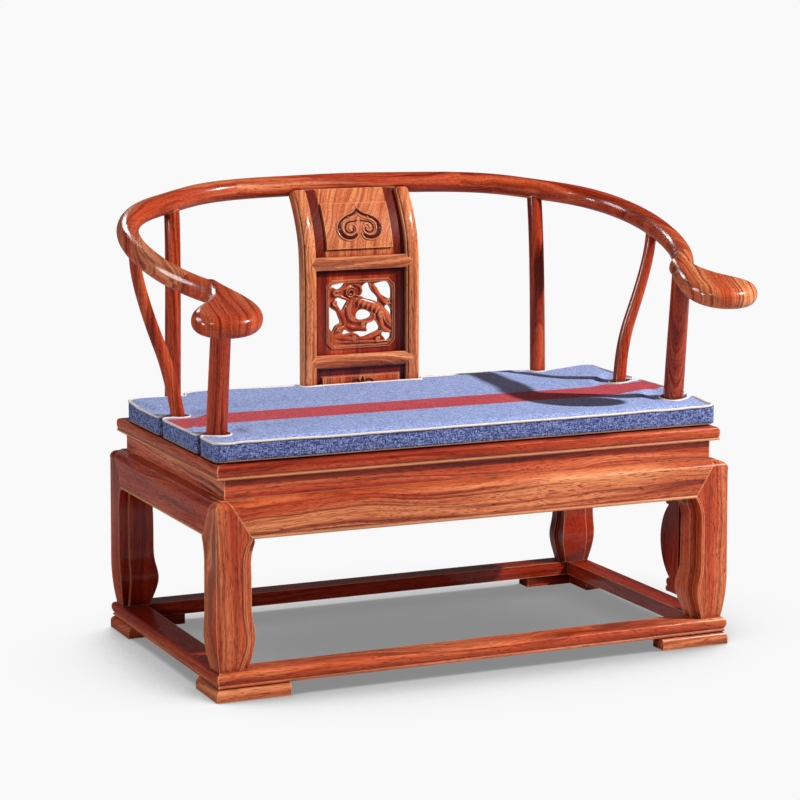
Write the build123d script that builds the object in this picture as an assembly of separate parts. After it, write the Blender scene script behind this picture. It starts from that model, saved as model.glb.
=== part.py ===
from build123d import *

import os
from math import atan, atan2, cos, degrees, hypot, sin

# Horseshoe-back settee for two, in rosewood: a floor frame on four pads, four hoofed
# legs, mitred aprons, a waist, a mitred seat frame with a floating panel, a carved
# splat, six posts and a horseshoe rail of five scarfed pieces, with a loose cushion.
# Millimetres, +Z up, the sitter faces -Y.

# ---------------------------------------------------------------- driving dimensions
# Floor frame and its pads
FLOOR_WIDTH = 1180.0
FLOOR_DEPTH = 692.0
FLOOR_RAIL_WIDTH = 60.0
FLOOR_RAIL_HEIGHT = 31.0
FOOT_HEIGHT = 27.0
FOOT_WIDTH = 46.0
FOOT_REACH_X = 160.0
FOOT_REACH_Y = 128.0
FOOT_PROUD = 2.0
FOOT_ROUND = 14.0

# Legs: faces, bead layer and core, measured inward from the outer faces
LEG_SPAN_X = 1180.0
LEG_SPAN_Y = 684.0
LEG_HEIGHT = 349.0
LEG_LAYER = 20.0
LEG_CORE = 78.0
LEG_CORE_GROWTH = 13.0
LEG_CORE_STEP = 44.0
LEG_ANKLE = 57.0
LEG_HOOF = 73.0
LEG_SHIN = 65.0
LEG_TAPER = 9.0
LEG_TENON = 26.0
LEG_TENON_LENGTH = 16.0

# Aprons and waist
APRON_HEIGHT = 78.5
APRON_FOOT_THICKNESS = 24.0
SHOULDER_RUN = 80.0
SHOULDER_HEIGHT = 19.0
LEDGE_FALL = 3.0
WAIST_HEIGHT = 40.0
WAIST_SETBACK = 31.0
WAIST_THICKNESS = 18.0
BEAD_HEIGHT = 6.5
BEAD_PROUD = 2.2

# Scroll-cut brackets behind the front legs
BRACKET_REACH = 77.0
BRACKET_DROP = 349.0
BRACKET_NOTCH = 107.0
BRACKET_THICKNESS = 22.0

# Seat frame, panel and battens
SEAT_WIDTH = 1156.0
SEAT_DEPTH = 646.0
SEAT_RAIL_WIDTH = 70.0
SEAT_RAIL_HEIGHT = 30.0
PANEL_THICKNESS = 14.0
PANEL_DROP = 2.5
TONGUE = 9.0
TONGUE_THICKNESS = 6.0
TONGUE_PLAY = 1.0
BATTEN_WIDTH = 42.0
BATTEN_DEPTH = 24.0
BATTEN_SPACING = 460.0
NECK_TENON = 15.0
NECK_TENON_LENGTH = 12.0

# Horseshoe rail: a round bar in one plane that falls toward the hands
RAIL_RADIUS = 23.5
RAIL_SLOPE = 0.2643
RAIL_LEVEL = 866.1
RAIL_HALF_SPAN = 617.0
RAIL_BACK = 398.0
RAIL_HAND_X = 544.0
RAIL_HAND_Y = -206.0
SCARF_LENGTH = 84.0
SCARF_BACK = 0.297
SCARF_HAND = 0.905
PIN_SIZE = 8.0
HAND_REACH = 404.0
HAND_WIDTH = 150.0

# Posts: foot centre, radii, and where the top meets the rail
REAR_POST_X = 454.0
REAR_POST_Y = 302.0
REAR_POST_RADIUS = 18.0
REAR_POST_NECK = 17.0
REAR_POST_LEAN = -8.0
SIDE_POST_X = 526.5
SIDE_POST_Y = 44.0
SIDE_POST_RADIUS = 15.5
SIDE_POST_NECK = 12.0
SIDE_POST_LEAN = 16.0
FRONT_POST_X = 533.0
FRONT_POST_Y = -191.0
FRONT_POST_RADIUS = 22.5
FRONT_POST_NECK = 20.5
FRONT_POST_LEAN = -39.0
POST_TENON_RADIUS = 8.0
POST_TENON_LENGTH = 18.0

# Splat
SPLAT_WIDTH = 286.0
SPLAT_FOOT_Y = 305.0
SPLAT_THICKNESS = 30.0
SPLAT_TOP = 962.0
SPLAT_CROWN = 6.0
STILE_WIDTH = 32.0
CROSS_RAIL_HEIGHT = 30.0
CROSS_RAIL_LOW = 560.0
CROSS_RAIL_HIGH = 783.0
SPLAT_GROOVE = 6.0
SPLAT_PANEL = 9.0
PANEL_SETBACK = 14.0
TOP_FIELD_SIDE = 30.0
TOP_FIELD_END = 17.5
BOTTOM_FIELD_SIDE = 16.0
BOTTOM_FIELD_END = 20.5
FIELD_RISE = 6.0
RIM_RISE = 3.0
WINDOW_WIDTH = 156.0
WINDOW_HEIGHT = 144.0
WINDOW_CHAMFER = 12.0
WINDOW_DROP = 5.0
RIM_WIDTH = 6.0

# Cushion
CUSHION_WIDTH = 1150.0
CUSHION_FRONT = 304.0
CUSHION_REAR = 272.0
CUSHION_STEP = 42.0
CUSHION_THICKNESS = 46.0
CUSHION_GAP = 0.3
SLIT_WIDTH = 18.0
POST_ROOM = 4.0
CUSHION_LIFT = 40.0
CUSHION_CORNER = 16.0

# ---------------------------------------------------------------- derived levels
FLOOR_TOP = FOOT_HEIGHT + FLOOR_RAIL_HEIGHT
LEG_TOP = FLOOR_TOP + LEG_HEIGHT
APRON_FOOT = LEG_TOP - APRON_HEIGHT
WAIST_TOP = LEG_TOP + WAIST_HEIGHT
SEAT_TOP = WAIST_TOP + SEAT_RAIL_HEIGHT
PANEL_TOP = SEAT_TOP - PANEL_DROP
PANEL_FOOT = PANEL_TOP - PANEL_THICKNESS
LEG_HALF = (LEG_SPAN_X / 2, LEG_SPAN_Y / 2)
SEAT_HALF = (SEAT_WIDTH / 2, SEAT_DEPTH / 2)
FLOOR_HALF = (FLOOR_WIDTH / 2, FLOOR_DEPTH / 2)
WAIST_INNER = WAIST_SETBACK + WAIST_THICKNESS
RAIL_TILT = atan(RAIL_SLOPE)
RAIL_PLANE = Plane(
    origin=(0, 0, RAIL_LEVEL),
    x_dir=(1, 0, 0),
    z_dir=(0, -sin(RAIL_TILT), cos(RAIL_TILT)),
)
MARGIN = 40.0
SIDES = {"front": 0, "right": 90, "rear": 180, "left": 270}
CORNERS = {
    "front_left": (1, 1),
    "front_right": (-1, 1),
    "rear_left": (1, -1),
    "rear_right": (-1, -1),
}


# ---------------------------------------------------------------- shared helpers
def closed_face(start, *moves):
    """Closed face: a move of one point is a line, of two an arc, of more a spline."""
    here = start
    parts = []
    for move in moves:
        if len(move) == 1:
            parts.append(Line(here, move[0]))
        elif len(move) == 2:
            parts.append(ThreePointArc(here, move[0], move[1]))
        else:
            parts.append(Spline(here, *move))
        here = move[-1]
    parts.append(Line(here, start))
    return make_face(Curve() + parts)


def block(x_range, y_range, z_range):
    """Box between two values on each axis."""
    size = [b - a for a, b in (x_range, y_range, z_range)]
    middle = [(a + b) / 2 for a, b in (x_range, y_range, z_range)]
    return Location(tuple(middle)) * Box(*size)


def side_half(half, angle):
    """(distance of the outer face, half the run) for one side of a rectangle."""
    return (half[1], half[0]) if angle % 180 == 0 else (half[0], half[1])


def mitred_bar(section, distance, run, depth):
    """Bar along X with its outer face at y = -distance, mitred at both ends."""
    bar = extrude(Plane.YZ * (Location((-distance, 0)) * section), run + MARGIN, both=True)
    reach = run + MARGIN
    plan = make_face(
        Polyline(
            (-reach, -distance - MARGIN),
            (reach, -distance - MARGIN),
            (run - depth, -distance + depth),
            (depth - run, -distance + depth),
            close=True,
        )
    )
    return bar & extrude(plan, SEAT_TOP * 2)


def frame_of(section, half, depth):
    """Four mitred bars round a rectangle, by side."""
    bars = {}
    for side, angle in SIDES.items():
        distance, run = side_half(half, angle)
        bars[side] = Rotation(0, 0, angle) * mitred_bar(section, distance, run, depth)
    return bars


def at_corner(shape, corner):
    """The front-left shape, mirrored to one of the four corners."""
    across, along = CORNERS[corner]
    if across < 0:
        shape = mirror(shape, Plane.YZ)
    if along < 0:
        shape = mirror(shape, Plane.XZ)
    return shape


# ---------------------------------------------------------------- floor frame and pads
def floor_section():
    """Rounded top edge, belly, quirk and lip; x is the inset from the outer face."""
    top = FLOOR_TOP
    foot = FOOT_HEIGHT
    return closed_face(
        (FLOOR_RAIL_WIDTH, top),
        [(9.0, top)],
        [(2.6, top - 3.0), (0.0, top - 9.5)],
        [(1.0, foot + 12.5), (4.6, foot + 6.5)],
        [(4.6, foot + 5.2)],
        [(2.4, foot + 2.8), (4.6, foot)],
        [(FLOOR_RAIL_WIDTH, foot)],
    )


def leg_tenon(foot_z, top_z, size, inset):
    """Square tenon on the corner diagonal of the front-left leg."""
    x = inset - LEG_HALF[0]
    y = inset - LEG_HALF[1]
    return block((x - size / 2, x + size / 2), (y - size / 2, y + size / 2), (foot_z, top_z))


def floor_frame():
    mortise = leg_tenon(
        FLOOR_TOP - LEG_TENON_LENGTH, FLOOR_TOP + 1, LEG_TENON, (LEG_ANKLE + LEG_TAPER) / 2
    )
    mortises = [at_corner(mortise, corner) for corner in CORNERS]
    bars = frame_of(floor_section(), FLOOR_HALF, FLOOR_RAIL_WIDTH)
    return {side: bar - mortises for side, bar in bars.items()}


def foot():
    """L-shaped pad under the front-left corner, its outer faces rounded over."""
    x = -FLOOR_HALF[0] - FOOT_PROUD
    y = -FLOOR_HALF[1] - FOOT_PROUD
    plan = make_face(
        Polyline(
            (x, y),
            (x + FOOT_REACH_X, y),
            (x + FOOT_REACH_X, y + FOOT_WIDTH),
            (x + FOOT_WIDTH, y + FOOT_WIDTH),
            (x + FOOT_WIDTH, y + FOOT_REACH_Y),
            (x, y + FOOT_REACH_Y),
            close=True,
        )
    )
    pad = extrude(plan, FOOT_HEIGHT)
    top_edges = pad.faces().sort_by(Axis.Z)[-1].edges()
    outer = [e for e in top_edges if e.center().X < x + 1e-3 or e.center().Y < y + 1e-3]
    return fillet(outer, FOOT_ROUND)


# ---------------------------------------------------------------- legs and aprons
def shoulder_moves(foot_move):
    """Outer profile shared by leg and apron, from the waist's foot down."""
    ledge = LEG_TOP - LEDGE_FALL
    return [
        [(WAIST_SETBACK, LEG_TOP)],
        [(WAIST_SETBACK / 2, ledge)],
        [(WAIST_SETBACK * 0.14, ledge - SHOULDER_HEIGHT * 0.3), (1.5, ledge - SHOULDER_HEIGHT)],
        foot_move,
    ]


def apron_section():
    """Cyma board with a bead along its lower edge; x is the inset."""
    foot_z = APRON_FOOT
    return closed_face(
        (WAIST_INNER, LEG_TOP),
        *shoulder_moves([(1.5, foot_z + BEAD_HEIGHT)]),
        [(1.5 - BEAD_PROUD, foot_z + BEAD_HEIGHT / 2), (1.5, foot_z)],
        [(APRON_FOOT_THICKNESS, foot_z)],
        [(WAIST_INNER, foot_z + APRON_HEIGHT / 2)],
    )


def leg_front_face():
    """Front view of the leg: x is the inset, the mitre runs from knee to waist."""
    return closed_face(
        (-MARGIN, LEG_TOP),
        [(WAIST_SETBACK, LEG_TOP)],
        [(SHOULDER_RUN, APRON_FOOT)],
        [(LEG_SHIN + 3.2, APRON_FOOT - 27), (LEG_SHIN, APRON_FOOT - 62)],
        [
            (LEG_SHIN, FLOOR_TOP + 135),
            (LEG_SHIN + 2.0, FLOOR_TOP + 102),
            (LEG_HOOF, FLOOR_TOP + 68),
            (LEG_HOOF - 7, FLOOR_TOP + 28),
            (LEG_ANKLE, FLOOR_TOP),
        ],
        [(-MARGIN, FLOOR_TOP)],
    )


def leg_outer_face(growth):
    """Side view of everything inside the leg's outer face, moved out by growth."""
    face = closed_face(
        (LEG_CORE * 2, LEG_TOP),
        *shoulder_moves([(0.0, FLOOR_TOP + 112)]),
        [(LEG_TAPER * 0.2, FLOOR_TOP + 52), (LEG_TAPER, FLOOR_TOP)],
        [(LEG_CORE * 2, FLOOR_TOP)],
    )
    return Location((-growth, 0)) * face


def seen_from_front(face, y_range):
    """Prism of a front-view face (inset, z) of the front-left leg, between two insets."""
    prism = extrude(Plane.XZ * (Location((-LEG_HALF[0], 0)) * face), -(y_range[1] - y_range[0]))
    return Location((0, y_range[0] - LEG_HALF[1], 0)) * prism


def seen_from_side(face, x_range):
    """Prism of a side-view face (inset, z) of the front-left leg, between two insets."""
    prism = extrude(Plane.YZ * (Location((-LEG_HALF[1], 0)) * face), x_range[1] - x_range[0])
    return Location((x_range[0] - LEG_HALF[0], 0, 0)) * prism


def leg():
    """Front-left leg: two beaded layers over a stepped core, hoofed and tapered at the foot."""
    deep = (-MARGIN, LEG_CORE * 2)
    face = leg_front_face()
    behind_side = Location((LEG_CORE - LEG_HOOF, 0)) * face
    behind_front = Location((LEG_CORE_GROWTH, 0)) * behind_side
    inner_front = Location((LEG_CORE_GROWTH / 2, 0)) * behind_side
    core_y = (LEG_LAYER, LEG_CORE)
    core_x = (LEG_LAYER, LEG_CORE + LEG_CORE_GROWTH)
    layers = seen_from_front(face, (-MARGIN, LEG_LAYER)) & seen_from_side(
        leg_outer_face(0), (-MARGIN, LEG_CORE + MARGIN)
    )
    layers += seen_from_side(face, (-MARGIN, LEG_LAYER)) & seen_from_front(
        leg_outer_face(0), (-MARGIN, LEG_CORE + MARGIN)
    )
    layers = layers & seen_from_front(leg_outer_face(0), deep)
    layers = layers & seen_from_side(leg_outer_face(0), deep)
    body = seen_from_front(behind_front, (LEG_LAYER, LEG_CORE_STEP))
    body += seen_from_front(inner_front, (LEG_CORE_STEP, LEG_CORE))
    body = body & seen_from_side(behind_side, core_x)
    body += block(
        tuple(value - LEG_HALF[0] for value in core_x),
        tuple(value - LEG_HALF[1] for value in core_y),
        (APRON_FOOT, LEG_TOP),
    )
    bead_face = face - Location((-BEAD_HEIGHT, 0)) * face
    bead_face = bead_face & Location((LEG_CORE / 2, FLOOR_TOP)) * Rectangle(
        LEG_CORE * 2, APRON_FOOT - FLOOR_TOP, align=(Align.CENTER, Align.MIN)
    )
    rim = (-MARGIN, LEG_LAYER / 2)
    beads = seen_from_front(bead_face, rim) & seen_from_side(leg_outer_face(BEAD_PROUD), deep)
    beads += seen_from_side(bead_face, rim) & seen_from_front(leg_outer_face(BEAD_PROUD), deep)
    neck_middle = (WAIST_INNER + LEG_CORE) / 2
    neck = leg_tenon(LEG_TOP, WAIST_TOP, LEG_CORE - WAIST_INNER, neck_middle)
    tenon = leg_tenon(WAIST_TOP, WAIST_TOP + NECK_TENON_LENGTH, NECK_TENON, neck_middle)
    spur = leg_tenon(
        FLOOR_TOP - LEG_TENON_LENGTH, FLOOR_TOP, LEG_TENON, (LEG_ANKLE + LEG_TAPER) / 2
    )
    return layers + body + beads + neck + tenon + spur


def aprons(one_leg):
    """Four beaded aprons, mitred into the shoulders of the legs."""
    legs = [at_corner(one_leg, corner) for corner in CORNERS]
    bars = frame_of(apron_section(), LEG_HALF, WAIST_INNER)
    cut = {}
    for side, bar in bars.items():
        distance, run = side_half(LEG_HALF, SIDES[side])
        shoulder = make_face(
            Polyline(
                (WAIST_SETBACK - run, LEG_TOP),
                (run - WAIST_SETBACK, LEG_TOP),
                (run - SHOULDER_RUN, APRON_FOOT),
                (SHOULDER_RUN - run, APRON_FOOT),
                close=True,
            )
        )
        keep = extrude(Plane.XZ * shoulder, distance + MARGIN)
        keep = Rotation(0, 0, SIDES[side]) * keep
        cut[side] = (bar & keep) - legs
    return cut


# ---------------------------------------------------------------- waist and seat frame
def waist_boards():
    section = closed_face(
        (WAIST_SETBACK, LEG_TOP),
        [(WAIST_INNER, LEG_TOP)],
        [(WAIST_INNER, WAIST_TOP)],
        [(WAIST_SETBACK, WAIST_TOP)],
    )
    return frame_of(section, LEG_HALF, WAIST_INNER)


def seat_section():
    """Rounded fascia with a bead at its foot and a groove for the panel inside."""
    top = SEAT_TOP
    foot_z = WAIST_TOP
    tongue_foot = (PANEL_TOP + PANEL_FOOT - TONGUE_THICKNESS) / 2
    return closed_face(
        (SEAT_RAIL_WIDTH, top),
        [(7.0, top)],
        [(2.6, top - 2.0), (0.6, top - 6.5)],
        [(0.0, top - 13.0), (2.4, foot_z + BEAD_HEIGHT)],
        [(2.4 - BEAD_PROUD, foot_z + BEAD_HEIGHT * 0.6), (3.2, foot_z + 1.2)],
        [(8.0, foot_z)],
        [(SEAT_RAIL_WIDTH, foot_z)],
        [(SEAT_RAIL_WIDTH, tongue_foot)],
        [(SEAT_RAIL_WIDTH - TONGUE - TONGUE_PLAY, tongue_foot)],
        [(SEAT_RAIL_WIDTH - TONGUE - TONGUE_PLAY, tongue_foot + TONGUE_THICKNESS)],
        [(SEAT_RAIL_WIDTH, tongue_foot + TONGUE_THICKNESS)],
    )


def batten(side):
    """Batten under the panel, tenoned into the front and rear rails."""
    x = side * BATTEN_SPACING / 2
    y = SEAT_HALF[1] - SEAT_RAIL_WIDTH
    bar = block(
        (x - BATTEN_WIDTH / 2, x + BATTEN_WIDTH / 2), (-y, y), (PANEL_FOOT - BATTEN_DEPTH, PANEL_FOOT)
    )
    tenon_half = BATTEN_WIDTH / 2 - 8
    bar += block(
        (x - tenon_half, x + tenon_half),
        (-y - TONGUE, y + TONGUE),
        (PANEL_FOOT - 10, PANEL_FOOT - 3),
    )
    return bar


def seat_panel():
    """Floating panel with a tongue all round."""
    x = SEAT_HALF[0] - SEAT_RAIL_WIDTH
    y = SEAT_HALF[1] - SEAT_RAIL_WIDTH
    field = block((-x, x), (-y, y), (PANEL_FOOT, PANEL_TOP))
    middle = (PANEL_TOP + PANEL_FOOT) / 2
    reach = TONGUE
    tongue = block(
        (-x - reach, x + reach),
        (-y - reach, y + reach),
        (middle - TONGUE_THICKNESS / 2, middle + TONGUE_THICKNESS / 2),
    )
    return field + tongue


# ---------------------------------------------------------------- horseshoe rail
def rail_line():
    """Centre line of the rail in its own plane, from hand to hand."""
    drawn = (617.0, 404.0, -200.0)
    across = RAIL_HALF_SPAN / drawn[0]
    along = (RAIL_BACK - RAIL_HAND_Y) / (drawn[1] - drawn[2])
    half = [(120, 399), (240, 391), (375, 360), (450, 320), (530, 268), (585, 196), (614, 100)]
    half += [(615, 0), (598, -90)]
    half = [(x * across, RAIL_BACK + (y - drawn[1]) * along) for x, y in half]
    half.append((RAIL_HAND_X, RAIL_HAND_Y))
    right = [(x, y / cos(RAIL_TILT)) for x, y in half]
    left = [(-x, y) for x, y in reversed(right)]
    middle = [(0.0, RAIL_BACK / cos(RAIL_TILT))]
    return RAIL_PLANE * Spline(*(left + middle + right))


def rail_spot(line, place):
    """Plane on the rail's centre line, along it, at a share of its whole length."""
    return Plane(origin=line @ place, x_dir=line % place, z_dir=RAIL_PLANE.z_dir)


def rail_piece(line, start, end):
    """Round bar along part of the centre line, by shares of its whole length."""
    part = line.trim(start, end)
    return sweep(Plane(origin=part @ 0, z_dir=part % 0) * Circle(RAIL_RADIUS), path=part)


def lap_cut(spot, direction, upper):
    """Block that takes away half the bar from a spot on, above or below its middle."""
    size = SCARF_LENGTH * 2
    height = RAIL_RADIUS * 2
    x_align = Align.MIN if direction > 0 else Align.MAX
    z_align = Align.MIN if upper else Align.MAX
    return spot * Box(size, size, height, align=(x_align, Align.CENTER, z_align))


def scarf_pin(line, place):
    """Square peg through both halves of one scarf."""
    return rail_spot(line, place) * Box(PIN_SIZE, PIN_SIZE, RAIL_RADIUS * 2 - 1.0)


def hand():
    """Broad hand on the right end: a thick outline curled outward, rounded all round."""
    x = RAIL_HAND_X
    y = RAIL_HAND_Y
    deep = HAND_REACH + RAIL_HAND_Y
    wide = HAND_WIDTH
    outline = [
        (x - RAIL_RADIUS + 0.5, y + 15),
        (x - wide * 0.27, y - deep * 0.20),
        (x - wide * 0.38, y - deep * 0.50),
        (x - wide * 0.36, y - deep * 0.75),
        (x - wide * 0.20, y - deep * 0.92),
        (x + wide * 0.05, y - deep),
        (x + wide * 0.33, y - deep * 0.99),
        (x + wide * 0.55, y - deep * 0.89),
        (x + wide * 0.62, y - deep * 0.73),
        (x + wide * 0.51, y - deep * 0.56),
        (x + wide * 0.33, y - deep * 0.42),
        (x + wide * 0.20, y - deep * 0.28),
        (x + RAIL_RADIUS * 0.86, y - deep * 0.10),
        (x + RAIL_RADIUS - 0.5, y + 15),
    ]
    slope = cos(RAIL_TILT)
    outline = [(px, py / slope) for px, py in outline]
    edge = Spline(*outline)
    plan = make_face(Curve() + [edge, Line(outline[-1], outline[0])])
    slab = extrude(plan, RAIL_RADIUS - 0.5, both=True)
    rims = [e for e in slab.edges() if abs(e.center().Z) > 1 and e.length > RAIL_RADIUS * 4]
    return RAIL_PLANE * fillet(rims, RAIL_RADIUS - 2.0)


def rail_sections(line):
    """Five rail pieces halved over each other at four scarfs, and the four pins."""
    reach = SCARF_LENGTH / 2 / line.length
    back = 0.5 + SCARF_BACK / 2
    tip = 0.5 + SCARF_HAND / 2
    pieces = {
        "rail_back": rail_piece(line, 1 - back - reach, back + reach),
        "rail_corner_right": rail_piece(line, back - reach, tip + reach),
        "hand_right": rail_piece(line, tip - reach, 1.0) + hand(),
    }
    laps = {
        "rail_back": [(back - reach, 1, True)],
        "rail_corner_right": [(back + reach, -1, False), (tip - reach, 1, False)],
        "hand_right": [(tip + reach, -1, True)],
    }
    pins = [scarf_pin(line, back), scarf_pin(line, tip)]
    pins += [mirror(pin, Plane.YZ) for pin in pins]
    for name, places in laps.items():
        for place, direction, upper in places:
            cut = lap_cut(rail_spot(line, place), direction, upper)
            pieces[name] -= cut
            if name == "rail_back":
                pieces[name] -= mirror(cut, Plane.YZ)
        pieces[name] = pieces[name] - pins
    return pieces, pins


# ---------------------------------------------------------------- posts
def first_share(curve, test, start=0.0):
    """Share of a curve's length, from a start on, at which a lasting test turns true."""
    low, high = start, 1.0
    for _ in range(30):
        middle = (low + high) / 2
        if test(curve @ middle):
            high = middle
        else:
            low = middle
    return (low + high) / 2


def post_path(foot, top, bow):
    """Centre line of a post, from its tenon in the seat frame to the middle of the rail."""
    points = [Vector(foot[0], foot[1], SEAT_TOP - POST_TENON_LENGTH)]
    for share, across, along in bow:
        x = foot[0] + (top.X - foot[0]) * across
        y = foot[1] + (top.Y - foot[1]) * along
        points.append(Vector(x, y, SEAT_TOP + (top.Z - SEAT_TOP) * share))
    points.append(top)
    return Spline(*points)


def tapered_bar(path, foot_radius, top_radius):
    """Round bar lofted along a smooth line."""
    stations = 11
    rings = []
    for number in range(stations):
        share = number / (stations - 1)
        radius = foot_radius + (top_radius - foot_radius) * share
        rings.append(Plane(origin=path @ share, z_dir=path % share) * Circle(radius))
    return loft(rings)


def post_paths(line):
    """Centre lines of the right-hand posts, by name: straight, swept and raked."""
    rear_x = REAR_POST_X + REAR_POST_LEAN
    side_y = SIDE_POST_Y + SIDE_POST_LEAN
    front_y = FRONT_POST_Y + FRONT_POST_LEAN
    rear_top = line @ first_share(line, lambda p: p.X > rear_x, 0.5)
    side_top = line @ first_share(line, lambda p: p.Y < side_y, 0.5)
    front_x = FRONT_POST_X + FRONT_POST_LEAN * 0.1
    front_top = Vector(front_x, front_y, RAIL_LEVEL + RAIL_SLOPE * front_y)
    straight = [(0.33, 0.3, 0.02), (0.66, 0.65, 0.12), (0.86, 0.88, 0.45)]
    swept = [(0.11, 0.05, 0.12), (0.26, 0.155, 0.6), (0.405, 0.315, 0.9)]
    swept += [(0.555, 0.555, 1.0), (0.70, 0.77, 1.0), (0.85, 0.94, 1.0)]
    raked = [(0.33, 0.33, 0.33), (0.66, 0.66, 0.66)]
    return {
        "rear_post": post_path((REAR_POST_X, REAR_POST_Y), rear_top, straight),
        "side_post": post_path((SIDE_POST_X, SIDE_POST_Y), side_top, swept),
        "front_post": post_path((FRONT_POST_X, FRONT_POST_Y), front_top, raked),
    }


def posts(paths):
    """Right-hand posts by name: (bar above the seat, core that ends in two tenons)."""
    radii = {
        "rear_post": (REAR_POST_RADIUS, REAR_POST_NECK),
        "side_post": (SIDE_POST_RADIUS, SIDE_POST_NECK),
        "front_post": (FRONT_POST_RADIUS, FRONT_POST_NECK),
    }
    reach = SEAT_WIDTH
    above = block((-reach, reach), (-reach, reach), (SEAT_TOP, SEAT_TOP * 3))
    made = {}
    for name, path in paths.items():
        bar = tapered_bar(path, *radii[name]) & above
        made[name] = (bar, tapered_bar(path, POST_TENON_RADIUS, POST_TENON_RADIUS))
    return made


# ---------------------------------------------------------------- splat
def splat_line(rail_back_point):
    """(y, z) stations of the splat's S-curve, from the seat into the rail."""
    lean = rail_back_point.Y - SPLAT_FOOT_Y
    rise = rail_back_point.Z - SEAT_TOP
    shape = [(0.0, -0.05), (0.0, 0.28), (0.0, 0.48), (0.02, 0.66), (0.065, 0.735), (0.16, 0.795)]
    shape += [(0.30, 0.856), (0.45, 0.905), (0.60, 0.947), (0.80, 1.0)]
    return [(SPLAT_FOOT_Y + a * lean, SEAT_TOP + b * rise) for a, b in shape]


def splat_band(stations, front, rear):
    """Side view between two offsets (toward -Y and +Y) of the splat's curve."""
    ahead = [(y + front, z) for y, z in stations]
    behind = [(y + rear, z) for y, z in stations]
    return closed_face(ahead[0], ahead[1:], [behind[-1]], list(reversed(behind[:-1])))


def splat_slice(stations, offsets, x_range, z_range):
    """Part of the splat between offsets, x values and z values."""
    band = extrude(Plane.YZ * splat_band(stations, *offsets), x_range[1] - x_range[0])
    band = Location((x_range[0], 0, 0)) * band
    return band & block(x_range, (-SEAT_DEPTH, SEAT_DEPTH), z_range)


def crowned_section(width):
    """Section of a frame member: x across it, flat toward +Y, crowned toward -Y."""
    side = width / 2
    deep = SPLAT_THICKNESS / 2
    return closed_face(
        (-side, deep),
        [(-side, SPLAT_CROWN - deep)],
        [(0, -deep), (side, SPLAT_CROWN - deep)],
        [(side, deep)],
    )


def seen_through(face):
    """Prism along Y of a front-view face (x, z), through the whole splat."""
    reach = SEAT_DEPTH * 2
    return Location((0, reach / 2, 0)) * extrude(Plane.XZ * face, reach)


def stile(stations):
    """Right-hand stile: crowned, following the S-curve, rounded at its top corners."""
    x = (SPLAT_WIDTH - STILE_WIDTH) / 2
    path = Spline(*[Vector(x, y, z) for y, z in stations])
    start = Plane(origin=path @ 0, x_dir=(1, 0, 0), z_dir=path % 0)
    bar = sweep(start * crowned_section(STILE_WIDTH), path=path)
    height = SPLAT_TOP - SEAT_TOP
    outline = Rectangle(STILE_WIDTH + 1, height, align=(Align.CENTER, Align.MIN))
    outline = fillet(outline.vertices().sort_by(Axis.Y)[-2:], STILE_WIDTH * 0.3)
    return bar & seen_through(Location((x, SEAT_TOP)) * outline)


def arrow_face(foot_z):
    """Front view of a cross rail: both ends pointed, to mitre into the stiles."""
    inner = SPLAT_WIDTH / 2 - STILE_WIDTH
    half = CROSS_RAIL_HEIGHT / 2
    middle = foot_z + half
    return make_face(
        Polyline(
            (-inner, foot_z),
            (inner, foot_z),
            (inner + half, middle),
            (inner, middle + half),
            (-inner, middle + half),
            (-inner - half, middle),
            close=True,
        )
    )


def cross_rail(stations, foot_z):
    """Crowned cross rail on the splat's curve, pointed at both ends."""
    path = Spline(*[Vector(0, y, z) for y, z in stations])
    middle = foot_z + CROSS_RAIL_HEIGHT / 2
    place = first_share(path, lambda p: p.Z > middle)
    across = Plane(origin=path @ place, x_dir=path % place, z_dir=(-1, 0, 0))
    bar = extrude(across * crowned_section(CROSS_RAIL_HEIGHT), SPLAT_WIDTH / 2, both=True)
    return bar & seen_through(arrow_face(foot_z))


def window_face(grow):
    """Square with cut corners in the middle panel, grown by a margin."""
    half_x = WINDOW_WIDTH / 2 + grow
    half_z = WINDOW_HEIGHT / 2 + grow
    cut = WINDOW_CHAMFER + grow * 0.4
    return make_face(
        Polyline(
            (-half_x + cut, -half_z),
            (half_x - cut, -half_z),
            (half_x, -half_z + cut),
            (half_x, half_z - cut),
            (half_x - cut, half_z),
            (cut - half_x, half_z),
            (-half_x, half_z - cut),
            (-half_x, -half_z + cut),
            close=True,
        )
    )


def openwork():
    """Holes round a hornless dragon that walks under a branch, inside the window."""
    drawn = (156.0, 144.0)
    across = WINDOW_WIDTH / drawn[0]
    along = WINDOW_HEIGHT / drawn[1]
    holes = [
        [(-71, 68), (-56, 70), (-38, 69), (-43, 63), (-50, 58), (-60, 58), (-67, 62), (-74, 61)],
        [(-63, 32), (-56, 39), (-45, 40), (-31, 32), (-37, 20), (-46, 8), (-54, 18), (-59, 26)],
        [(-74, 20), (-67, 12), (-58, 6), (-53, -6), (-49, -20), (-60, -26), (-69, -38), (-74, -34)],
        [(12, 68), (21, 69), (26, 57), (37, 42), (45, 32), (44, 22), (26, 27), (-5, 37), (2, 56)],
        [(36, 67), (51, 70), (68, 69), (75, 60), (75, 30), (60, 36), (49, 44), (42, 56)],
        [(61, 14), (67, 17), (73, 13), (76, -8), (71, -5), (64, 6)],
        [(-11, -3), (9, 8), (28, -5), (9, -15)],
        [(-44, -42), (-37, -36), (-26, -43), (-10, -41), (16, -40), (15, -31), (32, -16), (44, -26),
         (48, -36), (27, -48), (0, -53), (-10, -46), (-34, -46)],
        [(53, -48), (60, -44), (75, -48), (75, -59), (63, -66), (59, -59)],
    ]
    face = Sketch()
    for points in holes:
        placed = [(x * across, z * along) for x, z in points]
        face += make_face(Spline(*placed, periodic=True))
    return face & window_face(0)


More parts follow.
